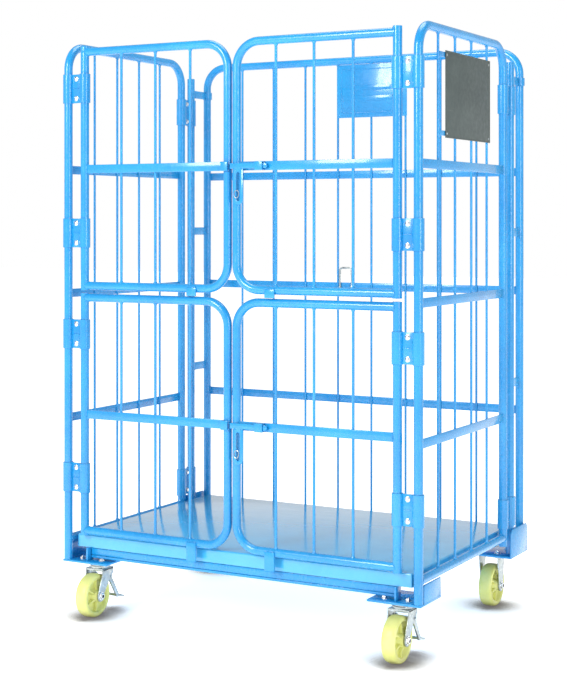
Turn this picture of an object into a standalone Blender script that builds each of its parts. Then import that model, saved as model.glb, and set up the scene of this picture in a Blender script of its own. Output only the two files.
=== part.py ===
"""Roll cage container: rear frame, two folding sides, four door leaves and a flip-up deck.

X runs across, Y from the doors to the back, Z up.  Every length below is in metres and every Y
is counted from the front tubes; the whole cage hangs on one empty that puts the world origin on
the floor under the middle of the footprint.
"""
import math

import bmesh
import bpy
from mathutils import Vector

# ---- driving dimensions ------------------------------------------------------------------
TOP_Z = 1.6875              # centre line of the highest rails
SIDE_X = 0.565              # side panels, from the middle
SIDE_DEPTH = 0.620          # front tube to rear tube of a side panel
REAR_X = 0.560              # rear panel's uprights
REAR_Y = 0.776
POST_Y = 0.680              # offset posts that carry the side panels
ORIGIN_Y = 0.3750           # middle of the footprint, from the front tubes
GAP = 0.0003                # left between pieces that touch

TUBE_R = 0.0125
RAIL_R = 0.0121             # rails that end on an upright: a little slimmer, so the weld is clean
BEND_R = 0.070              # centre line of the bent corners
TUBE_SIDES = 12
BEND_STEPS = 5
FLAT_HEIGHT = 0.025
FLAT_THICKNESS = 0.0045
ROD_R = 0.0036
DOOR_ROD_R = 0.004
ROD_SIDES = 6

SIDE_RAIL_Z = 0.229
SIDE_FOOT_Z = 0.205         # lower end of a side panel's rear tube
SIDE_FLATS_Z = (1.321, 0.955, 0.586)
SIDE_RODS_Y = (0.131, 0.250, 0.370, 0.489)

REAR_RAIL_Z = 0.220
REAR_FLATS_Z = (1.319, 0.957, 0.592)
REAR_RODS_X = (0.060, 0.180, 0.300, 0.420)

HINGE_PITCH = 0.060         # between the two tubes that a hinge clamp joins
LEAF_HINGE_X = SIDE_X - HINGE_PITCH
LEAF_FREE_X = 0.0145
LEAF_RODS_X = (0.139, 0.257, 0.375)
LEAF_FLAT_Y = -0.00395      # middle of the door flats, in front of the rods
LEAF_ROD_Y = 0.0005
# name: bottom rail, top rail, hinge tube's ends, flat, hinge clamps, stop tab's foot
LEAVES = {
    "upper": (0.979, 1.667, 0.966, 1.683, 1.322, (1.560, 1.134), 0.9580),
    "lower": (0.259, 0.944, 0.245, 0.957, 0.601, (0.836, 0.412), 0.2100),
}
TAB_X = (0.111, 0.142)
TAB_Y = (-0.0160, -0.0115)

CLAMP_HEIGHT = 0.086
CLAMP_IN = 0.0134           # corner radius inside a clamp's ring: turns freely on the tube
CLAMP_OUT = 0.0160
CLAMP_WEB = 0.005
REAR_CLAMPS_Z = (1.530, 0.300)
LINKS_Z = (1.594, 1.135, 0.681)
POST_TOP_Z = 1.645

PLATE_Z = (0.162, 0.168)    # plates that the casters are bolted under
PLATE_X = (0.420, 0.5775)
FRONT_PLATE_X = (0.420, 0.5765)
FRONT_PLATE_Y = (-0.012, 0.125)
FRONT_GUSSET_X = (0.571, 0.576)
FRONT_GUSSET_Y = (TUBE_R + GAP, 0.124)
REAR_PLATE_Y = (0.645, 0.790)
REAR_GUSSET_Z = 0.248
GUSSET_CUT = 0.012
REST_X = (0.495, 0.501)     # rests that the deck's front corners land on
REST_DEPTH = 0.030
REST_TOP_Z = 0.2055

DECK_X = 0.541
DECK_Y = (0.0135, 0.747)
DECK_Z = 0.243
DECK_SHEET = 0.003
DECK_LIP_Z = 0.206
DECK_AXIS = (0.735, 0.222)  # Y and Z of the deck's pivot
PIVOT_R = 0.005
LUG_X = (0.546, 0.550)
PAD_X = (0.488, 0.508)      # pads under the deck that meet the rests
RIBS_Y = (0.25, 0.50)
RIB_FOOT_Z = 0.215
BEAM_X = 0.493
BEAM_FOOT_Z = 0.1757

CASTER_X = 0.493
WHEEL_R = 0.0635
WHEEL_STEPS = 24
SWIVEL_Y = 0.060
TRAIL = 0.038               # front wheels' axles lie this far in front of their swivels
RIGID_Y = 0.715
FORK_IN = 0.028             # half the width between a fork's legs
FORK_OUT = 0.0315
AXLE_R = 0.006
PEDAL_PIVOT = (0.012, 0.112)  # behind the swivel, and height
PEDAL_END = (0.054, 0.047)
PEDAL_ARMS_X = (0.0215, 0.0265)
PEDAL_X = PEDAL_ARMS_X[0] - GAP

BOLT_Y = (-0.0178, -0.0128)
BOLT_X = (0.002, 0.112)
BOLT_HALF = 0.0075
HANDLE_X = (0.012, 0.044)
HANDLE_DROP = 0.091         # from the bolt's middle to the centre of the rounded foot
SLOT_R = 0.006

SIGN_X = (-0.060, 0.187)
SIGN_Z = (1.503, 1.6742)
LABEL_Y = (0.169, 0.499)
LABEL_Z = (1.395, 1.632)
CATCH_X = (-0.052, -0.010)
CATCH_Z = (0.952, 1.017)

SIDES = {"left": -1, "right": 1}


# ---- materials ---------------------------------------------------------------------------
def material(name, colour, roughness, metallic):
    made = bpy.data.materials.new(name)
    made.use_nodes = True
    made.diffuse_color = (*colour, 1)
    shader = made.node_tree.nodes["Principled BSDF"]
    shader.inputs["Base Color"].default_value = (*colour, 1)
    shader.inputs["Roughness"].default_value = roughness
    shader.inputs["Metallic"].default_value = metallic
    return made


FINISHES = {
    "paint": ((0.060, 0.36, 0.84), 0.32, 0.0),
    "deck": ((0.045, 0.33, 0.82), 0.16, 0.0),
    "label": ((0.085, 0.10, 0.10), 0.55, 0.0),
    "zinc": ((0.62, 0.64, 0.66), 0.35, 1.0),
    "nylon": ((0.76, 0.76, 0.30), 0.45, 0.0),
}


# ---- solids ------------------------------------------------------------------------------
def box(x, y, z):
    """A block between a low and a high value on each axis."""
    return hull([(a, b, c) for a in x for b in y for c in z])


def hull(points):
    """The convex solid around some points."""
    bm = bmesh.new()
    for point in points:
        bm.verts.new(point)
    made = bmesh.ops.convex_hull(bm, input=bm.verts)
    spare = {v for v in made["geom_interior"] + made["geom_unused"] if isinstance(v, bmesh.types.BMVert)}
    bmesh.ops.delete(bm, geom=list(spare), context="VERTS")
    bmesh.ops.dissolve_limit(bm, angle_limit=math.radians(0.5), verts=bm.verts, edges=bm.edges)
    return bm


def circle(radius, steps, phase=0.0):
    """Points of a regular outline around (0, 0)."""
    turns = [2 * math.pi * (i + phase) / steps for i in range(steps)]
    return [(radius * math.cos(a), radius * math.sin(a)) for a in turns]


def disc(x, y, z, radius, steps=16):
    """Points of two circles facing X, for a hull or a bar: x is a pair, y and z the middle."""
    return [(a, y + u, z + v) for a in x for u, v in circle(radius, steps)]


def fillet(corners, radius, steps=BEND_STEPS):
    """A path with its inner corners bent round to a centre-line radius."""
    corners = [Vector(c) for c in corners]
    path = [corners[0]]
    for before, corner, after in zip(corners, corners[1:], corners[2:]):
        back = (before - corner).normalized()
        on = (after - corner).normalized()
        reach = radius / math.tan(back.angle(on) / 2)
        middle = corner + (back + on).normalized() * (radius / math.sin(back.angle(on) / 2))
        start = corner + back * reach - middle
        end = corner + on * reach - middle
        sweep = start.angle(end)
        for i in range(steps + 1):
            part = i / steps
            mix = start * math.sin((1 - part) * sweep) + end * math.sin(part * sweep)
            path.append(middle + mix / math.sin(sweep))
    return path + [corners[-1]]


def tube(path, radius=TUBE_R, sides=TUBE_SIDES):
    """A round bar swept along a path that lies in one plane."""
    path = [Vector(p) for p in path]
    steps = [(b - a).normalized() for a, b in zip(path, path[1:])]
    normal = next((a.cross(b) for a, b in zip(steps, steps[1:]) if a.cross(b).length > 1e-6), None)
    if normal is None:
        normal = Vector((0, 0, 1)) if abs(steps[0].z) < 0.5 else Vector((0, 1, 0))
    normal.normalize()
    bm = bmesh.new()
    rings = []
    for i, point in enumerate(path):
        before = steps[max(i - 1, 0)]
        after = steps[min(i, len(steps) - 1)]
        across = normal.cross((before + after).normalized())
        wider = 1 / math.cos(before.angle(after) / 2)
        spread = [point + normal * u + across * (v * wider) for u, v in circle(radius, sides)]
        rings.append([bm.verts.new(p) for p in spread])
    for low, high in zip(rings, rings[1:]):
        for i in range(sides):
            bm.faces.new((low[i - 1], low[i], high[i], high[i - 1]))
    bm.faces.new(rings[0])
    bm.faces.new(rings[-1])
    return bm


def ring(centre, height, inner, outer, sides=TUBE_SIDES):
    """An upright collar around a tube."""
    bm = bmesh.new()
    loops = []
    for radius, z in ((outer, 0), (outer, height), (inner, height), (inner, 0)):
        points = circle(radius, sides)
        loops.append([bm.verts.new((centre[0] + u, centre[1] + v, centre[2] + z)) for u, v in points])
    for near, far in zip(loops, loops[1:] + loops[:1]):
        for i in range(sides):
            bm.faces.new((near[i - 1], near[i], far[i], far[i - 1]))
    return bm


def turned(profile, centre, steps=WHEEL_STEPS):
    """A closed profile of (x, radius) points turned about a line along X, a flat side down."""
    bm = bmesh.new()
    loops = []
    for x, radius in profile:
        corner = radius / math.cos(math.pi / steps)
        points = circle(corner, steps, phase=0.5)
        loops.append([bm.verts.new((centre[0] + x, centre[1] + u, centre[2] + v)) for u, v in points])
    for near, far in zip(loops, loops[1:] + loops[:1]):
        for i in range(steps):
            bm.faces.new((near[i - 1], near[i], far[i], far[i - 1]))
    return bm


# ---- objects -----------------------------------------------------------------------------
def mesh_object(name, bm):
    bmesh.ops.recalc_face_normals(bm, faces=bm.faces)
    mesh = bpy.data.meshes.new(name)
    bm.to_mesh(mesh)
    bm.free()
    mesh.shade_smooth()
    mesh.set_sharp_from_angle(angle=math.radians(35))
    made = bpy.data.objects.new(name, mesh)
    bpy.context.scene.collection.objects.link(made)
    return made


def combine(piece, operation, tools):
    """Weld tools to a piece, or cut them from it, with one Boolean."""
    if not tools:
        return
    group = bpy.data.collections.new(f"{piece.name} {operation.lower()}")
    for tool in tools:
        group.objects.link(tool)
        tool.parent = piece
        tool.hide_render = True
        tool.display_type = "WIRE"
    change = piece.modifiers.new(operation.title(), "BOOLEAN")
    change.operation = operation
    change.operand_type = "COLLECTION"
    change.collection = group


def node(name, finish, rides, solids, cuts=()):
    """One sub-part: solids welded together, cuts taken out, riding on a joint's empty."""
    piece = mesh_object(name, solids[0])
    piece.data.materials.append(MATERIALS[finish])
    combine(piece, "UNION", [mesh_object(f"{name} weld {i}", bm) for i, bm in enumerate(solids[1:], 1)])
    combine(piece, "DIFFERENCE", [mesh_object(f"{name} cut {i}", bm) for i, bm in enumerate(cuts, 1)])
    ride(piece, rides)


def ride(piece, carrier):
    """Hang an object on a carrier and leave it where it stands."""
    piece.parent = carrier
    place = Vector()
    while carrier is not None and carrier is not CAGE:
        place += carrier.location
        carrier = carrier.parent
    piece.location -= place


def axis(name, place, carrier=None):
    """An empty on a joint's axis."""
    empty = bpy.data.objects.new(name, None)
    empty.empty_display_size = 0.05
    bpy.context.scene.collection.objects.link(empty)
    empty.location = place
    ride(empty, carrier or CAGE)
    return empty


def mirrored(side, span):
    """A low and high X of the right half, on the side asked for."""
    return sorted(side * value for value in span)


# ---- fixed rear frame --------------------------------------------------------------------
def rear_panel():
    foot = PLATE_Z[1] + GAP
    left = [(-REAR_X, REAR_Y, foot), (-REAR_X, REAR_Y, TOP_Z)]
    corners = left + [(REAR_X, REAR_Y, TOP_Z), (REAR_X, REAR_Y, foot)]
    solids = [tube(fillet(corners, BEND_R))]
    solids.append(tube([(-REAR_X, REAR_Y, REAR_RAIL_Z), (REAR_X, REAR_Y, REAR_RAIL_Z)], RAIL_R))
    for z in REAR_FLATS_Z:
        flat_y = (REAR_Y + 0.0005, REAR_Y + 0.0005 + FLAT_THICKNESS)
        solids.append(box((-REAR_X, REAR_X), flat_y, (z - FLAT_HEIGHT / 2, z + FLAT_HEIGHT / 2)))
    for x in [side * value for side in SIDES.values() for value in REAR_RODS_X]:
        y = REAR_Y - 0.0015
        solids.append(tube([(x, y, REAR_RAIL_Z), (x, y, TOP_Z)], ROD_R, ROD_SIDES))
    node("rear_panel", "paint", CAGE, solids)


def rear_sign_plate():
    face = REAR_Y - 0.0015 - ROD_R - GAP
    node("rear_sign_plate", "paint", CAGE, [box(SIGN_X, (face - 0.002, face), SIGN_Z)])


def deck_catch():
    y = REAR_Y - 0.0030
    left, right = CATCH_X
    low, high = CATCH_Z
    bail = fillet([(left, y, low), (left, y, high), (right, y, high), (right, y, low)], 0.010, 3)
    node("deck_catch", "zinc", CAGE, [tube(bail, 0.003, 8)])


def offset_post(name, side):
    """An upright behind the side panel, held to the rear panel by three short bars."""
    x = side * SIDE_X
    solids = [tube([(x, POST_Y, PLATE_Z[1] + GAP), (x, POST_Y, POST_TOP_Z)])]
    bar_x = (side * REAR_X - 0.003, side * REAR_X + 0.003)
    for z in LINKS_Z:
        bar_y = (POST_Y, REAR_Y - TUBE_R - GAP)
        solids.append(box(bar_x, bar_y, (z - FLAT_HEIGHT / 2, z + FLAT_HEIGHT / 2)))
    collar_z = LINKS_Z[0] - FLAT_HEIGHT / 2 + 0.0005
    solids.append(ring((side * REAR_X, REAR_Y, collar_z), FLAT_HEIGHT - 0.001, CLAMP_IN, CLAMP_OUT))
    node(f"{name}_offset_post", "paint", CAGE, solids)


def rear_corner(name, side):
    """Caster plate, outer gusset and the lug whose stub pin the deck turns on."""
    node(f"{name}_rear_plate", "paint", CAGE, [box(mirrored(side, PLATE_X), REAR_PLATE_Y, PLATE_Z)])
    gusset_x = mirrored(side, (PLATE_X[1] + GAP, PLATE_X[1] + GAP + 0.0035))
    low, high = PLATE_Z[0], REAR_GUSSET_Z
    front, back = REAR_PLATE_Y
    cut = GUSSET_CUT
    outline = [(front, low), (back, low), (back, high - cut), (back - cut, high),
               (front + cut, high), (front, high - cut)]
    node(f"{name}_rear_gusset", "paint", CAGE, [hull([(x, y, z) for x in gusset_x for y, z in outline])])
    lug_x = mirrored(side, LUG_X)
    y, z = DECK_AXIS
    foot = [(x, y + dy, PLATE_Z[1] + GAP) for x in lug_x for dy in (-0.018, 0.018)]
    pin = hull(disc(mirrored(side, (DECK_X + GAP, LUG_X[0] + 0.001)), y, z, PIVOT_R, TUBE_SIDES))
    node(f"{name}_deck_lug", "paint", CAGE, [hull(foot + disc(lug_x, y, z, 0.012)), pin])


# ---- deck --------------------------------------------------------------------------------
def deck():
    pivot = axis("deck axis", (0, *DECK_AXIS))
    front, back = DECK_Y
    inner_x = DECK_X - DECK_SHEET
    inner_y = (front + DECK_SHEET, back - DECK_SHEET)
    top = box((-DECK_X, DECK_X), DECK_Y, (DECK_LIP_Z, DECK_Z))
    under = box((-inner_x, inner_x), inner_y, (DECK_LIP_Z - 0.010, DECK_Z - DECK_SHEET))
    tray = mesh_object("deck_tray", top)
    tray.data.materials.append(MATERIALS["deck"])
    combine(tray, "DIFFERENCE", [mesh_object("deck_tray hollow", under)])
    welds = []
    pad_z = (REST_TOP_Z + GAP, DECK_Z - 0.001)
    for side in SIDES.values():
        welds.append(box(mirrored(side, PAD_X), (front + 0.001, REST_DEPTH), pad_z))
    for at in RIBS_Y:
        welds.append(box((0.001 - DECK_X, DECK_X - 0.001), (at, at + 0.004), (RIB_FOOT_Z, DECK_Z - 0.001)))
    combine(tray, "UNION", [mesh_object(f"deck_tray weld {i}", bm) for i, bm in enumerate(welds, 1)])
    ride(tray, pivot)
    beam = box((-BEAM_X, BEAM_X), (front + 0.002, front + 0.037), (BEAM_FOOT_Z, DECK_LIP_Z - GAP))
    node("deck_front_beam", "paint", pivot, [beam])


# ---- hinge clamps ------------------------------------------------------------------------
def clamp(name, rides, centre, across, along, height=CLAMP_HEIGHT):
    """Two collars and a web; across is X or Y, the way from one tube to the other."""
    base = Vector(centre) - Vector((0, 0, height / 2))
    reach = Vector(across) * HINGE_PITCH / 2
    solids = [ring(base + way, height, CLAMP_IN, CLAMP_OUT) for way in (-reach, reach)]
    arm = Vector(across) * (HINGE_PITCH / 2 - CLAMP_IN - 0.001)
    thick = Vector(along) * CLAMP_WEB / 2
    ends = [base + a + b for a in (arm, -arm) for b in (thick, -thick)]
    solids.append(hull([(p.x, p.y, p.z + rise) for p in ends for rise in (0.0005, height - 0.0005)]))
    node(name, "paint", rides, solids)


# ---- side panels -------------------------------------------------------------------------
def side_panel(name, side, rides):
    x = side * SIDE_X
    front = [(x, 0, PLATE_Z[1] + GAP), (x, 0, TOP_Z)]
    back = [(x, SIDE_DEPTH, TOP_Z), (x, SIDE_DEPTH, SIDE_FOOT_Z)]
    solids = [tube(fillet(front + back, BEND_R))]
    solids.append(tube([(x, 0, SIDE_RAIL_Z), (x, SIDE_DEPTH, SIDE_RAIL_Z)], RAIL_R))
    flat_x = mirrored(side, (SIDE_X + 0.0017, SIDE_X + 0.0017 + FLAT_THICKNESS))
    rod_x = side * (SIDE_X - 0.0005)
    for z in SIDE_FLATS_Z:
        solids.append(box(flat_x, (0, SIDE_DEPTH), (z - FLAT_HEIGHT / 2, z + FLAT_HEIGHT / 2)))
    for y in SIDE_RODS_Y:
        solids.append(tube([(rod_x, y, SIDE_RAIL_Z), (rod_x, y, TOP_Z)], ROD_R, ROD_SIDES))
    if name == "right":
        tab_x = (SIDE_X + 0.0010, SIDE_X + 0.0040)
        for z in (LABEL_Z[0] + 0.012, LABEL_Z[1] - 0.012):
            solids.append(box(tab_x, (SIDE_RODS_Y[0], LABEL_Y[0] + 0.006), (z - 0.007, z + 0.007)))
            solids.append(box(tab_x, (LABEL_Y[1] - 0.020, LABEL_Y[1] + 0.006), (z - 0.006, z + 0.006)))
        label_x = (tab_x[1] + GAP, tab_x[1] + GAP + 0.0016)
        node("label_plate", "label", rides, [box(label_x, LABEL_Y, LABEL_Z)])
    node(f"{name}_side_panel", "paint", rides, solids)


def front_corner(name, side, rides):
    """Caster plate under the front tube with its gusset, and the deck's rest."""
    plate = box(mirrored(side, FRONT_PLATE_X), FRONT_PLATE_Y, PLATE_Z)
    gusset_z = (PLATE_Z[1] - 0.001, SIDE_RAIL_Z - TUBE_R - GAP)
    gusset = box(mirrored(side, FRONT_GUSSET_X), FRONT_GUSSET_Y, gusset_z)
    node(f"{name}_front_plate", "paint", rides, [plate, gusset])
    rest = box(mirrored(side, REST_X), (0, REST_DEPTH), (PLATE_Z[1] + GAP, REST_TOP_Z))
    node(f"{name}_deck_rest", "paint", rides, [rest])


# ---- door leaves -------------------------------------------------------------------------
def leaf(name, side, level, rides):
    bottom, top, foot, head, flat_z, _, tab_foot = LEAVES[level]
    hinge, free = side * LEAF_HINGE_X, side * LEAF_FREE_X
    loop = [(hinge, 0, top), (free, 0, top), (free, 0, bottom), (hinge, 0, bottom)]
    solids = [tube([(hinge, 0, foot), (hinge, 0, head)]), tube(fillet(loop, BEND_R), RAIL_R)]
    flat_y = (LEAF_FLAT_Y - FLAT_THICKNESS / 2, LEAF_FLAT_Y + FLAT_THICKNESS / 2)
    solids.append(box(sorted((hinge, free)), flat_y, (flat_z - FLAT_HEIGHT / 2, flat_z + FLAT_HEIGHT / 2)))
    for x in LEAF_RODS_X:
        x *= side
        solids.append(tube([(x, LEAF_ROD_Y, bottom), (x, LEAF_ROD_Y, top)], DOOR_ROD_R, ROD_SIDES))
    solids.append(box(mirrored(side, TAB_X), TAB_Y, (tab_foot, bottom + 0.003)))
    if name == "left":
        keeper_x = (-0.026, -0.004)
        for z in (0.0090, -0.0130):
            solids.append(box(keeper_x, (-0.0222, -0.0105), (flat_z + z, flat_z + z + 0.004)))
        solids.append(box((-0.0258, -0.0042), (-0.0224, -0.0188), (flat_z - 0.0128, flat_z + 0.0128)))
    node(f"{name}_{level}_leaf", "paint", rides, solids)


def latch(level, leaf_axis):
    """A flat bolt that slides across the leaf's flat, with a slotted handle hanging from it."""
    z = LEAVES[level][4]
    slide = axis(f"{level} latch axis", (BOLT_X[0], BOLT_Y[0], z), leaf_axis)
    strip = [(x, y, z + dz) for x in BOLT_X for y in BOLT_Y for dz in (-BOLT_HALF, BOLT_HALF)]
    strip += round_end(BOLT_X[1], z, BOLT_HALF, BOLT_Y)
    middle = sum(HANDLE_X) / 2
    half = HANDLE_X[1] - middle
    handle_y = (BOLT_Y[0] + 0.0002, BOLT_Y[1] - 0.0002)
    plate = [(x, y, z + 0.006) for x in HANDLE_X for y in handle_y]
    plate += round_end(middle, z - HANDLE_DROP, half, handle_y)
    cut_y = (BOLT_Y[0] - 0.002, BOLT_Y[1] + 0.002)
    slot = round_end(middle, z - 0.023, SLOT_R, cut_y)
    slot += round_end(middle, z - HANDLE_DROP, SLOT_R, cut_y)
    node(f"{level}_latch_bolt", "paint", slide, [hull(strip), hull(plate)], [hull(slot)])
    guide_x = (0.083, 0.107)
    arms_y = (-0.0220, LEAF_FLAT_Y - FLAT_THICKNESS / 2 - GAP)
    solids = [box((guide_x[0] + 0.0002, guide_x[1] - 0.0002), (-0.0222, -0.0186), (z - 0.0120, z + 0.0120))]
    for low in (-0.0122, 0.0088):
        solids.append(box(guide_x, arms_y, (z + low, z + low + 0.0034)))
    node(f"{level}_latch_guide", "paint", leaf_axis, solids)


def round_end(x, z, radius, span):
    """Points of a disc facing Y."""
    return [(x + u, y, z + v) for y in span for u, v in circle(radius, 20)]


# ---- casters -----------------------------------------------------------------------------
def wheel(name, rides, x, y):
    half = [(0.025, AXLE_R + 0.0005), (0.025, 0.0155), (0.022, 0.0175), (0.0065, 0.0200), (0.0065, 0.0440),
            (0.0178, 0.0490), (0.0198, 0.0580), (0.0165, 0.0620), (0.0090, WHEEL_R)]
    profile = half + [(-a, r) for a, r in reversed(half)]
    node(name, "nylon", rides, [turned(profile, (x, y, WHEEL_R))])


def axle(name, rides, x, y):
    solids = [hull(disc((x - 0.036, x + 0.036), y, WHEEL_R, AXLE_R, 12))]
    for side in SIDES.values():
        nut = sorted((x + side * (FORK_OUT + GAP), x + side * 0.0385))
        solids.append(hull(disc(nut, y, WHEEL_R, 0.0105, 6)))
    node(name, "zinc", rides, solids)


def legs(x, y, top_y, top_z, foot_r):
    """Two cheeks that taper from the crown to the axle."""
    cheeks = []
    for side in SIDES.values():
        span = sorted((x + side * FORK_IN, x + side * FORK_OUT))
        head = [(a, b, top_z) for a in span for b in top_y]
        cheeks.append(hull(head + disc(span, y, WHEEL_R, foot_r)))
    return cheeks


def rigid_caster(name, side):
    x = side * CASTER_X
    top = PLATE_Z[0] - GAP
    plate = box((x - 0.0425, x + 0.0425), (RIGID_Y - 0.050, RIGID_Y + 0.050), (top - 0.005, top))
    bore = hull(disc((x - 0.040, x + 0.040), RIGID_Y, WHEEL_R, AXLE_R + 0.0004, 12))
    cheeks = legs(x, RIGID_Y, (RIGID_Y - 0.026, RIGID_Y + 0.026), top - 0.003, 0.0175)
    node(f"{name}_rear_fork", "zinc", CAGE, [plate] + cheeks, [bore])
    spin = axis(f"{name} rear wheel axis", (x, RIGID_Y, WHEEL_R))
    wheel(f"{name}_rear_wheel", spin, x, RIGID_Y)
    axle(f"{name}_rear_axle", CAGE, x, RIGID_Y)


def swivel_caster(name, side, side_axis):
    x = side * CASTER_X
    y = SWIVEL_Y - TRAIL
    top = PLATE_Z[0] - GAP
    plate = box((x - 0.0425, x + 0.0425), (SWIVEL_Y - 0.050, SWIVEL_Y + 0.050), (top - 0.005, top))
    node(f"{name}_front_swivel_plate", "zinc", side_axis, [plate])
    turn = axis(f"{name} swivel axis", (x, SWIVEL_Y, 0.150), side_axis)
    race_z = (0.1400, top - 0.005 - GAP)
    race = hull([(x + u, SWIVEL_Y + v, z) for z in race_z for u, v in circle(0.029, 20)])
    crown_z = (0.1330, 0.1405)
    crown = box((x - FORK_OUT, x + FORK_OUT), (SWIVEL_Y - 0.030, SWIVEL_Y + 0.024), crown_z)
    cheeks = legs(x, y, (SWIVEL_Y - 0.0298, SWIVEL_Y + 0.0238), crown_z[1] - 0.001, 0.0165)
    bore = hull(disc((x - 0.040, x + 0.040), y, WHEEL_R, AXLE_R + 0.0004, 12))
    node(f"{name}_front_fork", "zinc", turn, [crown, race] + cheeks, [bore])
    spin = axis(f"{name} front wheel axis", (x, y, WHEEL_R), turn)
    wheel(f"{name}_front_wheel", spin, x, y)
    axle(f"{name}_front_axle", turn, x, y)
    brake_pedal(name, x, turn)


def brake_pedal(name, x, turn):
    """A tread between two arms that pass beside the wheel."""
    pin_y, pin_z = SWIVEL_Y + PEDAL_PIVOT[0], PEDAL_PIVOT[1]
    end_y, end_z = SWIVEL_Y + PEDAL_END[0], PEDAL_END[1]
    press = axis(f"{name} pedal axis", (x, pin_y, pin_z), turn)
    across = (x - PEDAL_X, x + PEDAL_X)
    for place, side in (("a", -1), ("b", 1)):
        span = sorted(x + side * value for value in PEDAL_ARMS_X)
        arm = disc(span, pin_y, pin_z, 0.0075, 12) + disc(span, end_y, end_z, 0.0060, 12)
        node(f"{name}_pedal_arm_{place}", "zinc", press, [hull(arm)])
    near, far = SWIVEL_Y + 0.046, SWIVEL_Y + 0.088
    tread = [(near, 0.0450), (near, 0.0515), (far, 0.0405), (far, 0.0350)]
    node(f"{name}_brake_pedal", "zinc", press, [hull([(a, b, c) for a in across for b, c in tread])])


# ---- build -------------------------------------------------------------------------------
for old in list(bpy.data.objects):
    bpy.data.objects.remove(old)

MATERIALS = {name: material(name, *values) for name, values in FINISHES.items()}
CAGE = bpy.data.objects.new("cage", None)
bpy.context.scene.collection.objects.link(CAGE)
CAGE.location = (0, -ORIGIN_Y, 0)

rear_panel()
rear_sign_plate()
deck_catch()
deck()
for side_name, sign in SIDES.items():
    offset_post(side_name, sign)
    rear_corner(side_name, sign)
    rigid_caster(side_name, sign)
    rear_link = axis(f"{side_name} rear link axis", (sign * SIDE_X, POST_Y, REAR_CLAMPS_Z[1]))
    middle_y = (POST_Y + SIDE_DEPTH) / 2
    for clamp_level, clamp_z in zip(("upper", "lower"), REAR_CLAMPS_Z):
        centre = (sign * SIDE_X, middle_y, clamp_z)
        clamp(f"{side_name}_rear_clamp_{clamp_level}", rear_link, centre, (0, 1, 0), (1, 0, 0))
    panel_axis = axis(f"{side_name} side axis", (sign * SIDE_X, SIDE_DEPTH, SIDE_RAIL_Z), rear_link)
    side_panel(side_name, sign, panel_axis)
    front_corner(side_name, sign, panel_axis)
    swivel_caster(side_name, sign, panel_axis)
    middle_x = sign * (SIDE_X + LEAF_HINGE_X) / 2
    for leaf_level, sizes in LEAVES.items():
        label = f"{side_name}_{leaf_level}"
        front_link = axis(f"{label} link axis", (sign * SIDE_X, 0, sizes[0]), panel_axis)
        for place, clamp_z in zip("ab", sizes[5]):
            centre = (middle_x, 0, clamp_z)
            clamp(f"{label}_clamp_{place}", front_link, centre, (1, 0, 0), (0, 1, 0))
        door_axis = axis(f"{label} leaf axis", (sign * LEAF_HINGE_X, 0, sizes[0]), front_link)
        leaf(side_name, sign, leaf_level, door_axis)
        if side_name == "right":
            latch(leaf_level, door_axis)
bpy.context.view_layer.update()
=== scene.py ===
"""Looks of the roll cage container: fine meshes, materials, floor, light and camera.

Lengths are in metres.  Shapes are made with Y counted from the front tubes, as in the CAD, and
shifted into the frame when their object is made.
"""
import math

import bmesh
import bpy
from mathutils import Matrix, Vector


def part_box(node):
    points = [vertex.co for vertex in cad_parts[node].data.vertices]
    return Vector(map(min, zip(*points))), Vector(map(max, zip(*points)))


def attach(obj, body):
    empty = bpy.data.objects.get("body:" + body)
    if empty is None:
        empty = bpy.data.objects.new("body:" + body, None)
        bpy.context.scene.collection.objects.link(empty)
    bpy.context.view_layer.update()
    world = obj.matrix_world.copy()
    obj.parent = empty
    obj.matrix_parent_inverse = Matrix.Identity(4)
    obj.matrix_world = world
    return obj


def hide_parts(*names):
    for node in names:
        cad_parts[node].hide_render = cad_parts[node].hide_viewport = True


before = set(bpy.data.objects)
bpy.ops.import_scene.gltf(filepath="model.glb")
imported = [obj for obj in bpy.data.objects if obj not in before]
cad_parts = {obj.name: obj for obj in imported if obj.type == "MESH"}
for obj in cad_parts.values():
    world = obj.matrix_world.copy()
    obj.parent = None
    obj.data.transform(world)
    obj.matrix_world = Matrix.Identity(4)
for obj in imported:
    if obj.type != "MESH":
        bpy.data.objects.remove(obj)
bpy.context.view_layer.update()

SIDES = {"left": -1, "right": 1}
TAU = 2 * math.pi

# ---- places, read from the frame ---------------------------------------------------------
TUBE_R = 0.0125
RAIL_R = 0.0121
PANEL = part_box("right_side_panel")
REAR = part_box("rear_panel")
FRONT = PANEL[0].y + TUBE_R          # the front tubes' Y, the zero of the shapes below
SIDE_X = PANEL[1].x - TUBE_R
SIDE_DEPTH = PANEL[1].y - TUBE_R - FRONT
TOP_Z = PANEL[1].z - TUBE_R
FOOT_Z = PANEL[0].z
REAR_X = REAR[1].x - TUBE_R
REAR_Y = REAR[0].y + TUBE_R - FRONT

# ---- sizes shared with the CAD -----------------------------------------------------------
BEND_R = 0.070
BEND_STEPS = 14
TUBE_SIDES = 28
FLAT_HEIGHT = 0.025
ROD_R = 0.0036
DOOR_ROD_R = 0.0040
SIDE_RAIL_Z = 0.229
SIDE_FOOT_Z = 0.205
SIDE_FLATS_Z = (1.321, 0.955, 0.586)
SIDE_RODS_Y = (0.131, 0.250, 0.370, 0.489)
REAR_RAIL_Z = 0.220
REAR_FLATS_Z = (1.319, 0.957, 0.592)
REAR_RODS_X = (0.060, 0.180, 0.300, 0.420)
LINKS_Z = (1.594, 1.135, 0.681)
LEAF_HINGE_X = 0.505
LEAF_FREE_X = 0.0145
LEAF_RODS_X = (0.139, 0.257, 0.375)
LEAF_FLAT_Y = (-0.0062, -0.0017)
LEAF_ROD_Y = 0.0005
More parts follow.
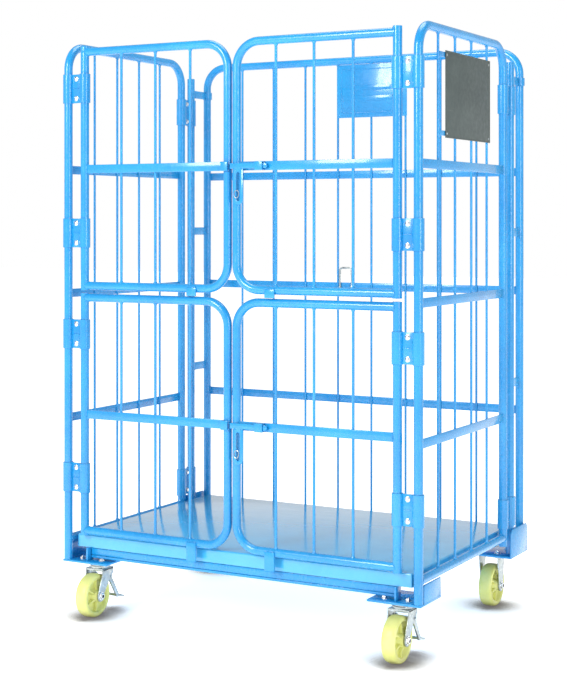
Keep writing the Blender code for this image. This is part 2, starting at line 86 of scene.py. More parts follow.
# bottom rail, top rail, flat, foot of the stop tab
LEAVES = {"upper": (0.979, 1.667, 1.322, 0.958), "lower": (0.259, 0.944, 0.601, 0.210)}
DECK_AXIS = (0.735, 0.222)
WHEEL_R = 0.0635
FORK_IN = 0.028
FORK_OUT = 0.0315
PLATE_FOOT, PLATE_TOP = 0.1567, 0.1617
PLATE_BOLT_X, PLATE_BOLT_Y = 0.0345, 0.040
# corners of a wheel's rib: out from the middle plane, from the axle, and half its thickness
WHEEL_RIB = ((0.0050, 0.0170, 0.0034), (0.0050, 0.0485, 0.0040),
             (0.0128, 0.0485, 0.0030), (0.0190, 0.0170, 0.0026))
# the latch bolt's half height, and how far its handle hangs below it
BOLT_HALF = 0.0075
HANDLE_DROP = 0.091


# ---- camera ------------------------------------------------------------------------------
CAMERA_LENS = 80.47
CAMERA_SHIFT = -0.1768
CAMERA_XY = (2.169, -3.652 + FRONT)
CAMERA_Z = 1.172
CAMERA_TURN = math.radians(28.78)


# ---- mesh tools --------------------------------------------------------------------------
def skin(loops, ends="cap"):
    """A surface through loops of points, with capped ends or joined to itself."""
    bm = bmesh.new()
    rows = [[bm.verts.new(p) for p in loop] for loop in loops]
    pairs = list(zip(rows, rows[1:]))
    if ends == "join":
        pairs.append((rows[-1], rows[0]))
    for near, far in pairs:
        for i in range(len(near)):
            bm.faces.new((near[i - 1], near[i], far[i], far[i - 1]))
    if ends == "cap":
        bm.faces.new(rows[0])
        bm.faces.new(rows[-1])
    bmesh.ops.recalc_face_normals(bm, faces=bm.faces)
    return bm


def soften(bm, width, segments=2, least=0.5):
    """Round the edges that turn by more than an angle in radians."""
    edges = [e for e in bm.edges if len(e.link_faces) == 2 and e.calc_face_angle(0) > least]
    if width and edges:
        bmesh.ops.bevel(bm, geom=edges, offset=width, segments=segments, profile=0.5, affect="EDGES",
                        clamp_overlap=True)
    return bm


def turn(radius, steps):
    """Points round a circle."""
    return [(radius * math.cos(TAU * i / steps), radius * math.sin(TAU * i / steps)) for i in range(steps)]


def on_axis(axis, along, u, v):
    """A point from a distance along X, Y or Z and two across it."""
    return {"X": (along, u, v), "Y": (u, along, v), "Z": (u, v, along)}[axis]


def turned(profile, centre, axis="Z", steps=32, ends="cap"):
    """(along, radius) points turned about a line through centre."""
    centre = Vector(centre)
    return skin([[centre + Vector(on_axis(axis, along, u, v)) for u, v in turn(radius, steps)]
                 for along, radius in profile], ends)


def slab(outline, axis, low, high, width=0.0008):
    """A plate cut to an outline, its edges softened.  The outline is in the two other axes."""
    loops = [[Vector(on_axis(axis, at, u, v)) for u, v in outline] for at in (low, high)]
    return soften(skin(loops), width)


def block(x, y, z, width=0.0008):
    return slab([(y[0], z[0]), (y[1], z[0]), (y[1], z[1]), (y[0], z[1])], "X", x[0], x[1], width)


def frame_plate(outer, inner, axis, low, high, width=0.0006):
    """A plate with a hole: two outlines with the same number of points."""
    loops = [[Vector(on_axis(axis, at, u, v)) for u, v in line]
             for line, at in ((outer, low), (outer, high), (inner, high), (inner, low))]
    return soften(skin(loops, "join"), width, 2, 0.9)


def fillet(corners, radius, steps=BEND_STEPS):
    """A path with its inner corners bent round to a centre-line radius."""
    corners = [Vector(c) for c in corners]
    path = [corners[0]]
    for before, corner, after in zip(corners, corners[1:], corners[2:]):
        back, on = (before - corner).normalized(), (after - corner).normalized()
        half = back.angle(on) / 2
        middle = corner + (back + on).normalized() * (radius / math.sin(half))
        start = corner + back * (radius / math.tan(half)) - middle
        end = corner + on * (radius / math.tan(half)) - middle
        sweep = start.angle(end)
        for i in range(steps + 1):
            part = i / steps
            mix = start * math.sin((1 - part) * sweep) + end * math.sin(part * sweep)
            path.append(middle + mix / math.sin(sweep))
    return path + [corners[-1]]


def tube(path, radius=TUBE_R, sides=TUBE_SIDES, lump=0.0):
    """A round bar along a flat path; lump makes the radius swell and shrink like a weld."""
    path = [Vector(p) for p in path]
    steps = [(b - a).normalized() for a, b in zip(path, path[1:])]
    normal = next((a.cross(b) for a, b in zip(steps, steps[1:]) if a.cross(b).length > 1e-5), None)
    if normal is None:
        normal = Vector((0, 0, 1)) if abs(steps[0].z) < 0.5 else Vector((0, 1, 0))
    normal = (normal - steps[0] * normal.dot(steps[0])).normalized()
    loops = []
    for i, point in enumerate(path):
        before, after = steps[max(i - 1, 0)], steps[min(i, len(steps) - 1)]
        across = normal.cross((before + after).normalized())
        wider = 1 / math.cos(before.angle(after) / 2)
        size = radius * (1 + lump * math.sin(2.4 * i + 40 * point.x + 60 * point.z))
        loops.append([point + normal * u + across * (v * wider) for u, v in turn(size, sides)])
    return skin(loops)


def bead(start, end, radius=0.0016, steps=10):
    """A short straight weld bead."""
    start, end = Vector(start), Vector(end)
    return tube([start.lerp(end, i / steps) for i in range(steps + 1)], radius, 8, 0.22)


def rod_weld(middle_point):
    """The upright bead where a rod crosses a flat."""
    reach = Vector((0, 0, 0.009))
    return bead(Vector(middle_point) - reach, Vector(middle_point) + reach, 0.0012, 6)


def saddle(centre, away, steps=36):
    """The weld where a rail meets the side of an upright tube."""
    centre, away, up = Vector(centre), Vector(away), Vector((0, 0, 1))
    over = away.cross(up)
    loops = []
    for i in range(steps):
        angle = TAU * i / steps
        out = up * math.cos(angle) + over * math.sin(angle)
        reach = math.sqrt(max(TUBE_R ** 2 - (RAIL_R * math.sin(angle)) ** 2, 0))
        size = 0.0019 * (1 + 0.2 * math.sin(9 * angle))
        place = centre + out * RAIL_R + away * reach
        loops.append([place + out * u + away * v for u, v in turn(size, 8)])
    return skin(loops, "join")


def rod(x, y, low, high, radius):
    """An upright rod between two rails, flared where it is welded to them."""
    foot, head = low + RAIL_R, high - RAIL_R
    flare = ((-0.004, 0.0), (-0.0015, 0.0026), (0.0010, 0.0019), (0.0035, 0.0004), (0.0060, 0.0))
    profile = [(foot + a, radius + r) for a, r in flare]
    profile += [(head - a, radius + r) for a, r in reversed(flare)]
    return turned(profile, (x, y, 0), "Z", 14)


def plug(x, y, z, up=1):
    """A domed plug in a tube's open end."""
    profile = [(0.0, TUBE_R - 0.0012), (0.0006, TUBE_R - 0.0009), (0.0012, TUBE_R - 0.0022),
               (0.0018, TUBE_R - 0.0060), (0.0020, 0.0012)]
    return turned([(up * (a - 0.001), r) for a, r in profile], (x, y, z), "Z", TUBE_SIDES)


def hexagon(centre, axis, across, height, way=1):
    """A bolt head or nut with chamfered corners, on a washer."""
    r = across / math.sqrt(3)
    nut = turned([(0, r), (way * height * 0.78, r), (way * height, r * 0.86)], centre, axis, 6)
    washer = turned([(0, r * 1.28), (way * 0.0010, r * 1.28), (way * 0.0013, r * 1.2)], centre, axis, 28)
    return [nut, washer]


def dome(centre, axis, radius, height, way=1):
    """A round rivet or bolt head."""
    turns = [math.pi / 2 * i / 6 for i in range(7)]
    arc = [(way * height * math.sin(a), radius * math.cos(a) + 0.0002) for a in turns]
    return turned([(-way * 0.0004, radius)] + arc, centre, axis, 24)


def rounded_hull(node, width=0.0008):
    """The convex shape of a CAD node with softened edges."""
    bm = bmesh.new()
    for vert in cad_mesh(node):
        bm.verts.new(vert)
    bmesh.ops.remove_doubles(bm, verts=bm.verts, dist=1e-5)
    made = bmesh.ops.convex_hull(bm, input=bm.verts)
    spare = {g for g in made["geom_interior"] + made["geom_unused"] if isinstance(g, bmesh.types.BMVert)}
    bmesh.ops.delete(bm, geom=list(spare), context="VERTS")
    bmesh.ops.dissolve_limit(bm, angle_limit=0.01, verts=bm.verts, edges=bm.edges)
    bmesh.ops.recalc_face_normals(bm, faces=bm.faces)
    return soften(bm, width)


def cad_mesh(node):
    """A CAD node's points, with Y counted from the front tubes."""
    return [v.co - Vector((0, FRONT, 0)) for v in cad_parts[node].data.vertices]


def middle(node):
    low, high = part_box(node)
    return (low + high) / 2 - Vector((0, FRONT, 0))


def piece(name, shapes, finish, body, *nodes, sharp=38):
    """One object from closed shells; it rides on a body and stands for some CAD nodes."""
    whole = bmesh.new()
    for shape in shapes:
        scratch = bpy.data.meshes.new("scratch")
        shape.to_mesh(scratch)
        shape.free()
        whole.from_mesh(scratch)
        bpy.data.meshes.remove(scratch)
    bmesh.ops.translate(whole, verts=whole.verts, vec=(0, FRONT, 0))
    mesh = bpy.data.meshes.new(name)
    whole.to_mesh(mesh)
    whole.free()
    mesh.shade_smooth()
    mesh.set_sharp_from_angle(angle=math.radians(sharp))
    mesh.materials.append(MATERIALS[finish])
    made = bpy.data.objects.new(name, mesh)
    bpy.context.scene.collection.objects.link(made)
    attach(made, body)
    if nodes:
        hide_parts(*nodes)
    return made


# ---- materials ---------------------------------------------------------------------------
class Nodes:
    """A small helper for building one material's node tree."""

    def __init__(self, name):
        self.made = bpy.data.materials.new(name)
        self.made.use_nodes = True
        self.tree = self.made.node_tree
        self.shader = self.tree.nodes["Principled BSDF"]
        self.place = self.add("ShaderNodeTexCoord").outputs["Object"]

    def add(self, kind, **values):
        node = self.tree.nodes.new(kind)
        for key, value in values.items():
            setattr(node, key, value)
        return node

    def link(self, source, target):
        self.tree.links.new(source, target)

    def noise(self, scale, detail=3.0, rough=0.5, stretch=None):
        node = self.add("ShaderNodeTexNoise")
        node.inputs["Scale"].default_value = scale
        node.inputs["Detail"].default_value = detail
        node.inputs["Roughness"].default_value = rough
        place = self.place
        if stretch:
            mapping = self.add("ShaderNodeMapping")
            mapping.inputs["Scale"].default_value = stretch
            self.link(place, mapping.inputs["Vector"])
            place = mapping.outputs["Vector"]
        self.link(place, node.inputs["Vector"])
        return node.outputs["Fac"]

    def ramp(self, source, low, high, bottom=0.3, top=0.7):
        """Map a value between two limits, to numbers or to colours."""
        if isinstance(low, tuple):
            node = self.add("ShaderNodeValToRGB")
            stops = node.color_ramp.elements
            stops[0].position, stops[1].position = bottom, top
            stops[0].color, stops[1].color = (*low, 1), (*high, 1)
            self.link(source, node.inputs["Fac"])
            return node.outputs["Color"]
        node = self.add("ShaderNodeMapRange")
        for key, value in zip(("From Min", "From Max", "To Min", "To Max"), (bottom, top, low, high)):
            node.inputs[key].default_value = value
        self.link(source, node.inputs["Value"])
        return node.outputs["Result"]

    def mix(self, share, under, over):
        node = self.add("ShaderNodeMix", data_type="RGBA")
        self.link(share, node.inputs["Factor"])
        self.link(under, node.inputs["A"])
        node.inputs["B"].default_value = (*over, 1)
        return node.outputs["Result"]

    def bump(self, *layers):
        """Stack bumps given as (height, strength, distance)."""
        last = None
        for height, strength, distance in layers:
            node = self.add("ShaderNodeBump")
            node.inputs["Strength"].default_value = strength
            node.inputs["Distance"].default_value = distance
            self.link(height, node.inputs["Height"])
            if last:
                self.link(last, node.inputs["Normal"])
            last = node.outputs["Normal"]
        self.link(last, self.shader.inputs["Normal"])

    def set(self, **values):
        for key, value in values.items():
            self.shader.inputs[key.replace("_", " ")].default_value = value


def powder_coat(name, deep, light, rough, coat, streaks=False):
    """Gloss powder coat: orange peel, uneven film, faint scuffs and dust."""
    n = Nodes(name)
    film = n.ramp(n.noise(7.0, 4), deep, light)
    scuff = n.noise(38.0, 6, 0.7, (1.0, 1.0, 0.25))
    scuff_share = n.ramp(scuff, 0.0, 0.35, 0.66, 0.74)
    coloured = n.mix(scuff_share, film, tuple(0.5 * c + 0.28 for c in light))
    n.link(coloured, n.shader.inputs["Base Color"])
    fine = n.noise(55.0, 5, 0.6, (0.15, 1.0, 1.0) if streaks else None)
    n.link(n.ramp(fine, rough * 0.75, rough * 1.4), n.shader.inputs["Roughness"])
    n.bump((n.noise(420.0, 2), 0.10, 0.0004), (n.noise(26.0, 3), 0.06, 0.0010))
    n.set(Coat_Weight=coat, Coat_Roughness=0.08, IOR=1.5)
    return n.made


def zinc(name, dark, light, rough):
    """Bright zinc plate: blurred spangle, a faint warm and cool passivation, fine brush marks."""
    n = Nodes(name)
    cells = n.add("ShaderNodeTexVoronoi")
    cells.inputs["Scale"].default_value = 90.0
    n.link(n.place, cells.inputs["Vector"])
    base = n.ramp(n.noise(24.0, 4), dark, light)
    tint = n.mix(n.ramp(cells.outputs["Distance"], 0.0, 0.35, 0.2, 0.8), base, (0.66, 0.68, 0.60))
    n.link(tint, n.shader.inputs["Base Color"])
    n.link(n.ramp(n.noise(130.0, 4), rough * 0.7, rough * 1.5), n.shader.inputs["Roughness"])
    n.bump((n.noise(300.0, 3, 0.5, (1.0, 1.0, 6.0)), 0.10, 0.0003))
    n.set(Metallic=1.0)
    return n.made


def nylon(name):
    """Cast nylon: waxy, a little uneven in colour, with mould grain and dust from rolling."""
    n = Nodes(name)
    base = n.ramp(n.noise(22.0, 4), (0.66, 0.69, 0.19), (0.78, 0.79, 0.30))
    dusty = n.mix(n.ramp(n.noise(60.0, 6, 0.7), 0.0, 0.30, 0.58, 0.72), base, (0.56, 0.55, 0.30))
    n.link(dusty, n.shader.inputs["Base Color"])
    n.link(n.ramp(n.noise(90.0, 3), 0.32, 0.50), n.shader.inputs["Roughness"])
    n.bump((n.noise(500.0, 3), 0.12, 0.0003), (n.noise(45.0, 2), 0.10, 0.0008))
    n.set(Subsurface_Weight=0.12, Subsurface_Radius=(0.006, 0.005, 0.002), Subsurface_Scale=1.0)
    return n.made


def label_coat(name):
    """Matt dark coating with a fine grain and rub marks."""
    n = Nodes(name)
    base = n.ramp(n.noise(9.0, 5), (0.048, 0.068, 0.066), (0.072, 0.096, 0.092))
    rub_share = n.ramp(n.noise(55.0, 7, 0.7, (1.0, 0.2, 1.0)), 0.0, 0.45, 0.62, 0.76)
    rubbed = n.mix(rub_share, base, (0.20, 0.21, 0.20))
    n.link(rubbed, n.shader.inputs["Base Color"])
    n.link(n.ramp(n.noise(80.0, 4), 0.42, 0.62), n.shader.inputs["Roughness"])
    n.bump((n.noise(900.0, 2), 0.18, 0.0003))
    return n.made


def floor_coat(name):
    """A lit white floor with painted contact shadows: its colour and glow darken close to what stands on
    it.
    """
    n = Nodes(name)
    # painted shadow: ambient occlusion darkens the floor's colour and its glow close to what stands on it
    near = n.add("ShaderNodeAmbientOcclusion", samples=8)
    near.inputs["Distance"].default_value = 0.16
    white = n.ramp(n.noise(0.8, 3), (0.96, 0.96, 0.96), (0.98, 0.98, 0.98))
    shade = n.ramp(near.outputs["AO"], 1.0, 0.0, 0.62, 0.97)
    floor_with_painted_shadow = n.mix(shade, white, (0.16, 0.15, 0.15))
    n.link(floor_with_painted_shadow, n.shader.inputs["Base Color"])
    n.link(floor_with_painted_shadow, n.shader.inputs["Emission Color"])
    n.link(n.ramp(n.noise(3.0, 3), 0.75, 0.9), n.shader.inputs["Roughness"])
    n.set(Emission_Strength=0.78, Specular_IOR_Level=0.0)
    return n.made


MATERIALS = {
    "paint": powder_coat("blue_powder_coat", (0.007, 0.240, 0.58), (0.014, 0.315, 0.67), 0.24, 0.5),
    # the deck's copy of the blue coat has a lighter base colour: painted reflection of the bright room on
    # its broad top; its lower roughness, stronger clear coat and streaks are its own
    "deck": powder_coat("blue_deck_coat_painted_reflection", (0.040, 0.370, 0.68), (0.070, 0.440, 0.75), 0.17, 0.8, True),
    "zinc": zinc("zinc_plate", (0.26, 0.30, 0.32), (0.50, 0.56, 0.58), 0.30),
    "bolt": zinc("bright_bolt", (0.74, 0.75, 0.76), (0.90, 0.91, 0.92), 0.22),
    "nylon": nylon("pale_yellow_nylon"),
    "label": label_coat("dark_label_coat"),
}


# ---- panels ------------------------------------------------------------------------------
def flat_across(x, y, z, weld_x=None):
    """A flat bar across a panel in the XZ plane, with the welds at its ends."""
    shapes = [block(x, y, (z - FLAT_HEIGHT / 2, z + FLAT_HEIGHT / 2))]
    for end in weld_x or []:
        for at in y:
            shapes.append(bead((end, at, z - FLAT_HEIGHT / 2), (end, at, z + FLAT_HEIGHT / 2)))
    return shapes


def rear_panel():
    """The rear frame: hoop, bottom rail, flats and rods, welded into one."""
    left = [(-REAR_X, REAR_Y, FOOT_Z), (-REAR_X, REAR_Y, TOP_Z)]
    right = [(REAR_X, REAR_Y, TOP_Z), (REAR_X, REAR_Y, FOOT_Z)]
    shapes = [tube(fillet(left + right, BEND_R)),
              tube([(-REAR_X, REAR_Y, REAR_RAIL_Z), (REAR_X, REAR_Y, REAR_RAIL_Z)], RAIL_R)]
    flat_y = (REAR_Y + 0.0005, REAR_Y + 0.0050)
    for z in REAR_FLATS_Z:
        ends = [side * (REAR_X - 0.0118) for side in (-1, 1)]
        shapes += flat_across((-REAR_X, REAR_X), flat_y, z, ends)
    for side in (-1, 1):
        shapes.append(saddle((side * REAR_X, REAR_Y, REAR_RAIL_Z), (-side, 0, 0)))
        for x in REAR_RODS_X:
            shapes.append(rod(side * x, REAR_Y - 0.0015, REAR_RAIL_Z, TOP_Z, ROD_R))
            edge, y = side * x - ROD_R, REAR_Y + 0.0004
            for z in REAR_FLATS_Z:
                shapes.append(rod_weld((edge, y, z)))
    piece("rear_frame_panel", shapes, "paint", "rear_frame", "rear_panel")


def side_panel(name, side):
    """A folding side: hoop, bottom rail, flats, rods and the front corner."""
    x = side * SIDE_X
    body = f"{name}_side"
    hoop = [(x, 0, FOOT_Z), (x, 0, TOP_Z), (x, SIDE_DEPTH, TOP_Z), (x, SIDE_DEPTH, SIDE_FOOT_Z)]
    shapes = [tube(fillet(hoop, BEND_R)), tube([(x, 0, SIDE_RAIL_Z), (x, SIDE_DEPTH, SIDE_RAIL_Z)], RAIL_R)]
    shapes.append(plug(x, SIDE_DEPTH, SIDE_FOOT_Z, -1))
    flat_x = sorted((side * (SIDE_X + 0.0017), side * (SIDE_X + 0.0062)))
    for z in SIDE_FLATS_Z:
        shapes.append(block(flat_x, (0, SIDE_DEPTH), (z - FLAT_HEIGHT / 2, z + FLAT_HEIGHT / 2)))
        for y in (0.0112, SIDE_DEPTH - 0.0112):
            at = side * (SIDE_X + 0.0055)
            shapes.append(bead((at, y, z - FLAT_HEIGHT / 2), (at, y, z + FLAT_HEIGHT / 2)))
        for y in SIDE_RODS_Y:
            at = side * (SIDE_X + 0.0015)
            shapes.append(rod_weld((at, y - ROD_R, z)))
    for y, way in ((0, 1), (SIDE_DEPTH, -1)):
        shapes.append(saddle((x, y, SIDE_RAIL_Z), (0, way, 0)))
    for y in SIDE_RODS_Y:
        shapes.append(rod(side * (SIDE_X - 0.0005), y, SIDE_RAIL_Z, TOP_Z, ROD_R))
    if name == "right":
        shapes += label_tabs()
    piece(f"{name}_side_frame", shapes, "paint", body, f"{name}_side_panel")
    front_corner(name, side)


def front_corner(name, side):
    """The castor plate with its upright gusset and weld, and the deck's rest."""
    low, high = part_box(f"{name}_front_plate")
    near, far = low.y - FRONT, high.y - FRONT
    inner, outer = sorted((low.x, high.x), key=abs)
    gusset = sorted((outer - side * 0.0005, outer - side * 0.0055))
    shapes = [block(sorted((inner, outer)), (near, far), (low.z, low.z + 0.006), 0.0012),
              block(gusset, (0.0128, far - 0.001), (low.z + 0.005, high.z), 0.0012)]
    weld_x = outer - side * 0.0055
    shapes.append(bead((weld_x, 0.016, low.z + 0.0062), (weld_x, far - 0.004, low.z + 0.0062), 0.0018, 24))
    x = side * SIDE_X
    half_turn = [TAU * i / 40 for i in range(21)]
    ring = [(x + 0.0128 * math.cos(a), 0.0128 * math.sin(a), low.z + 0.0062) for a in half_turn]
    shapes.append(tube(ring, 0.0015, 8, 0.2))
    piece(f"{name}_front_plate_fine", shapes, "paint", f"{name}_side", f"{name}_front_plate")
    piece(f"{name}_deck_rest_fine", [rounded_hull(f"{name}_deck_rest", 0.0008)], "paint", f"{name}_side",
          f"{name}_deck_rest")


def label_tabs():
    """Four small tabs that hold the label plate, between it and the rods."""
    low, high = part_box("label_plate")
    x = (low.x - 0.0033, low.x - 0.0003)
    near, far = low.y - FRONT, high.y - FRONT
    shapes = []
    for z in (low.z + 0.012, high.z - 0.012):
        shapes.append(block(x, (SIDE_RODS_Y[0], near + 0.006), (z - 0.007, z + 0.007), 0.0005))
        shapes.append(block(x, (far - 0.020, far + 0.006), (z - 0.006, z + 0.006), 0.0005))
    return shapes


def inset_box(u0, u1, v0, v1, inset):
    """The four corners of a box, drawn in from its edges."""
    u0, u1, v0, v1 = u0 + inset, u1 - inset, v0 + inset, v1 - inset
    return [(u0, v0), (u1, v0), (u1, v1), (u0, v1)]


def label_plate():
    """A thin plate with a folded rim and four rivets."""
    low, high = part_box("label_plate")
    y0, y1, z0, z1 = low.y - FRONT, high.y - FRONT, low.z, high.z
    outer = inset_box(y0, y1, z0, z1, 0)
    inner = inset_box(y0, y1, z0, z1, 0.004)
    rim = frame_plate(outer, inner, "X", high.x - 0.0006, high.x + 0.0006)
    shapes = [rounded_hull("label_plate", 0.0004), rim]
    piece("label_plate_fine", shapes, "label", "right_side", "label_plate")
    rivets = []
    for y in (y0 + 0.010, y1 - 0.010):
        for z in (z0 + 0.012, z1 - 0.012):
            rivets.append(dome((high.x, y, z), "X", 0.0032, 0.0014))
    piece("label_rivets", rivets, "zinc", "right_side")


def sign_plate():
    """The owner's plate: a plain pressed frame and two pressed bars stand in for its mark."""
    low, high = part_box("rear_sign_plate")
    x0, x1, z0, z1 = low.x, high.x, low.z, high.z
    face = low.y - FRONT
    raised = (face - 0.0012, face + 0.0006)
    inset = 0.014
    outer, inner = inset_box(x0, x1, z0, z1, inset), inset_box(x0, x1, z0, z1, inset + 0.003)
    shapes = [rounded_hull("rear_sign_plate", 0.0005), frame_plate(outer, inner, "Y", *raised, 0.0005)]
    for share in (0.36, 0.56):
        at = z0 + (z1 - z0) * share
        shapes.append(block((x0 + 0.050, x1 - 0.050), raised, (at - 0.008, at + 0.008), 0.0006))
    piece("sign_plate_fine", shapes, "paint", "rear_frame", "rear_sign_plate")
    rivets = []
    for x in (x0 + 0.007, x1 - 0.007):
        for z in (z0 + 0.008, z1 - 0.008):
            rivets.append(dome((x, face, z), "Y", 0.0030, 0.0013, -1))
    piece("sign_rivets", rivets, "paint", "rear_frame")


def offset_post(name, side):
    """The post that a side swings on, held off the rear frame by three bars."""
    low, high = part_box(f"{name}_offset_post")
    y = low.y - FRONT + TUBE_R
    x = side * SIDE_X
    shapes = [tube([(x, y, low.z), (x, y, high.z)]), plug(x, y, high.z)]
    bar = (side * REAR_X - 0.003, side * REAR_X + 0.003)
    for z in LINKS_Z:
        shapes.append(block(bar, (y, REAR_Y - TUBE_R - 0.0003), (z - FLAT_HEIGHT / 2, z + FLAT_HEIGHT / 2)))
        for at in bar:
            near, far = y + 0.0115, REAR_Y - TUBE_R - 0.0012
            shapes.append(bead((at, near, z - FLAT_HEIGHT / 2), (at, near, z + FLAT_HEIGHT / 2), 0.0017))
            shapes.append(bead((at, far, z - FLAT_HEIGHT / 2), (at, far, z + FLAT_HEIGHT / 2), 0.0011))
    half = FLAT_HEIGHT / 2 - 0.0005
    shapes.append(collar((side * REAR_X, REAR_Y, LINKS_Z[0]), half * 2))
    piece(f"{name}_offset_post_fine", shapes, "paint", "rear_frame", f"{name}_offset_post")
    for part in ("rear_plate", "rear_gusset"):
        node = f"{name}_{part}"
        piece(f"{node}_fine", [rounded_hull(node, 0.0010)], "paint", "rear_frame", node)
    deck_lug(name, side)


def deck_lug(name, side):
    """An upright ear with a rounded top and the stub pin that the deck turns on."""
    pin_y, pin_z = DECK_AXIS
    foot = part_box(f"{name}_deck_lug")[0].z
    inner, outer = side * 0.546, side * 0.550
    top_r = 0.012
    arc = [math.pi * i / 16 for i in range(17)]
    outline = [(pin_y - 0.018, foot)]
    outline += [(pin_y - top_r * math.cos(a), pin_z + top_r * math.sin(a)) for a in arc]
    outline.append((pin_y + 0.018, foot))
    shapes = [slab(outline, "X", *sorted((inner, outer)), 0.0006)]
    half_pin = ((0.5413, 0.0044), (0.5419, 0.0050), (0.5512, 0.0050), (0.5518, 0.0042))
    shapes.append(turned([(side * x, r) for x, r in half_pin], (0, pin_y, pin_z), "X", 24))
    weld_z = foot + 0.001
    shapes.append(bead((inner, pin_y - 0.016, weld_z), (inner, pin_y + 0.016, weld_z), 0.0014))
    piece(f"{name}_deck_lug_fine", shapes, "paint", "rear_frame", f"{name}_deck_lug")


def deck_catch():
    """The wire loop that holds the raised deck."""
    low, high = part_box("deck_catch")
    r = 0.003
    y = low.y - FRONT + r
    x0, x1, z0, z1 = low.x + r, high.x - r, low.z, high.z - r
    path = fillet([(x0, y, z0), (x0, y, z1), (x1, y, z1), (x1, y, z0)], 0.010, 8)
    feet = [turned([(0, 0.0046), (0.004, 0.0044), (0.008, 0.0031)], (x, y, z0), "Z", 16) for x in (x0, x1)]
    piece("deck_catch_fine", [tube(path, r, 16)] + feet, "zinc", "rear_frame", "deck_catch")


# ---- hinge clamps ------------------------------------------------------------------------
def collar(centre, height):
    """A sheet ring round a tube, its ends softened."""
    inner, outer, c = 0.0131, 0.0160, 0.0006
    h = height / 2
    profile = [(-h + c, outer), (h - c, outer), (h, outer - c), (h, inner + c), (h - c, inner),
               (-h + c, inner), (-h, inner + c), (-h, outer - c)]
    return turned(profile, centre, "Z", TUBE_SIDES, "join")


def clamp(node, body, across):
    """Two sheet collars joined by a web, with two bolts and a pressed line on each face."""
    low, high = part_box(node)
    centre = middle(node)
    height = high.z - low.z
    across = Vector(across)
    along = Vector((across.y, across.x, 0))
    reach = across * 0.030
    shapes = [collar(centre - reach, height), collar(centre + reach, height)]
    half, thick, z = 0.0172, 0.0025, height / 2 - 0.0005
    if across.x:
        x = (centre.x - half, centre.x + half)
        y = (centre.y - thick, centre.y + thick)
    else:
        x = (centre.x - thick, centre.x + thick)
        y = (centre.y - half, centre.y + half)
    shapes.append(block(x, y, (centre.z - z, centre.z + z), 0.0009))
    bolts = []
    facing = "Y" if across.x else "X"
    for way in (-1, 1):
        face = centre + along * (way * thick)
        ridge = face + along * (way * 0.0002)
        shapes.append(tube([ridge - across * 0.010, ridge + across * 0.010], 0.0012, 10))
        for dz in (-0.029, 0.029):
            spot = face + Vector((0, 0, dz))
            if way == (-1 if across.x else (1 if centre.x > 0 else -1)):
                bolts.append(dome(spot, facing, 0.0062, 0.0034, way))
                washer = [(0, 0.0075), (way * 0.0008, 0.0075), (way * 0.0011, 0.0070)]
                bolts.append(turned(washer, spot, facing, 28))
            else:
                bolts += hexagon(spot, facing, 0.010, 0.005, way)
    piece(f"{node}_fine", shapes, "paint", body, node)
    piece(f"{node}_bolts", bolts, "bolt", body)


# ---- door leaves -------------------------------------------------------------------------
def leaf(name, side, level):
    """One door leaf, with its half of the latch."""
    bottom, top, flat_z, tab_foot = LEAVES[level]
    node = f"{name}_{level}_leaf"
    hinge, free = side * LEAF_HINGE_X, side * LEAF_FREE_X
    loop = [(hinge, 0, top), (free, 0, top), (free, 0, bottom), (hinge, 0, bottom)]
    hinge_foot = bottom - 0.013 if level == "upper" else bottom - 0.014
    hinge_head = top + 0.016 if level == "upper" else top + 0.013
    shapes = [tube([(hinge, 0, hinge_foot), (hinge, 0, hinge_head)]), tube(fillet(loop, BEND_R), RAIL_R)]
    shapes += [plug(hinge, 0, hinge_head), plug(hinge, 0, hinge_foot, -1)]
    welds_x = [side * (LEAF_HINGE_X - 0.0117), side * (LEAF_FREE_X + 0.0113)]
    shapes += flat_across(sorted((hinge, free)), LEAF_FLAT_Y, flat_z, welds_x)
    for z in (top, bottom):
        shapes.append(saddle((hinge, 0, z), (-side, 0, 0)))
    for x in LEAF_RODS_X:
        shapes.append(rod(side * x, LEAF_ROD_Y, bottom, top, DOOR_ROD_R))
        for way in (-1, 1):
            at = side * x + way * DOOR_ROD_R
            shapes.append(rod_weld((at, -0.0014, flat_z)))
    tab = sorted((side * 0.111, side * 0.142))
    shapes.append(block(tab, (-0.0160, -0.0115), (tab_foot, bottom + 0.003), 0.0010))
    weld_z = bottom + 0.0045
    shapes.append(bead((tab[0] + 0.002, -0.0128, weld_z), (tab[1] - 0.002, -0.0128, weld_z), 0.0017))
    if name == "left":
        shapes += strap((-0.026, -0.004), -0.0222, -0.0105, flat_z, 0.0090, 0.0130)
    piece(f"{node}_frame", shapes, "paint", node, node)
    if name == "right":
        guide = strap((0.083, 0.107), -0.0222, -0.0065, flat_z, 0.0088, 0.0122)
        piece(f"{level}_latch_guide_fine", guide, "paint", node, f"{level}_latch_guide")
        latch(level, flat_z)


def strap(x, front, back, z, inside, outside):
    """A bridge of bent strip that a latch bolt runs through."""
    inner = front + 0.0034
    cut = 0.0012
    outline = [(back, z + inside), (inner, z + inside), (inner, z - inside), (back, z - inside),
               (back, z - outside), (front + cut, z - outside), (front, z - outside + cut),
               (front, z + outside - cut), (front + cut, z + outside), (back, z + outside)]
    return [slab(outline, "X", x[0], x[1], 0.0005)]


def round_slot(x, top, foot, radius, steps=12):
    """An upright outline with a round foot and head, in X and Z."""
    arc = [math.pi * i / steps for i in range(steps + 1)]
    return ([(x - radius * math.cos(a), foot - radius * math.sin(a)) for a in arc]
            + [(x + radius * math.cos(a), top + radius * math.sin(a)) for a in arc])


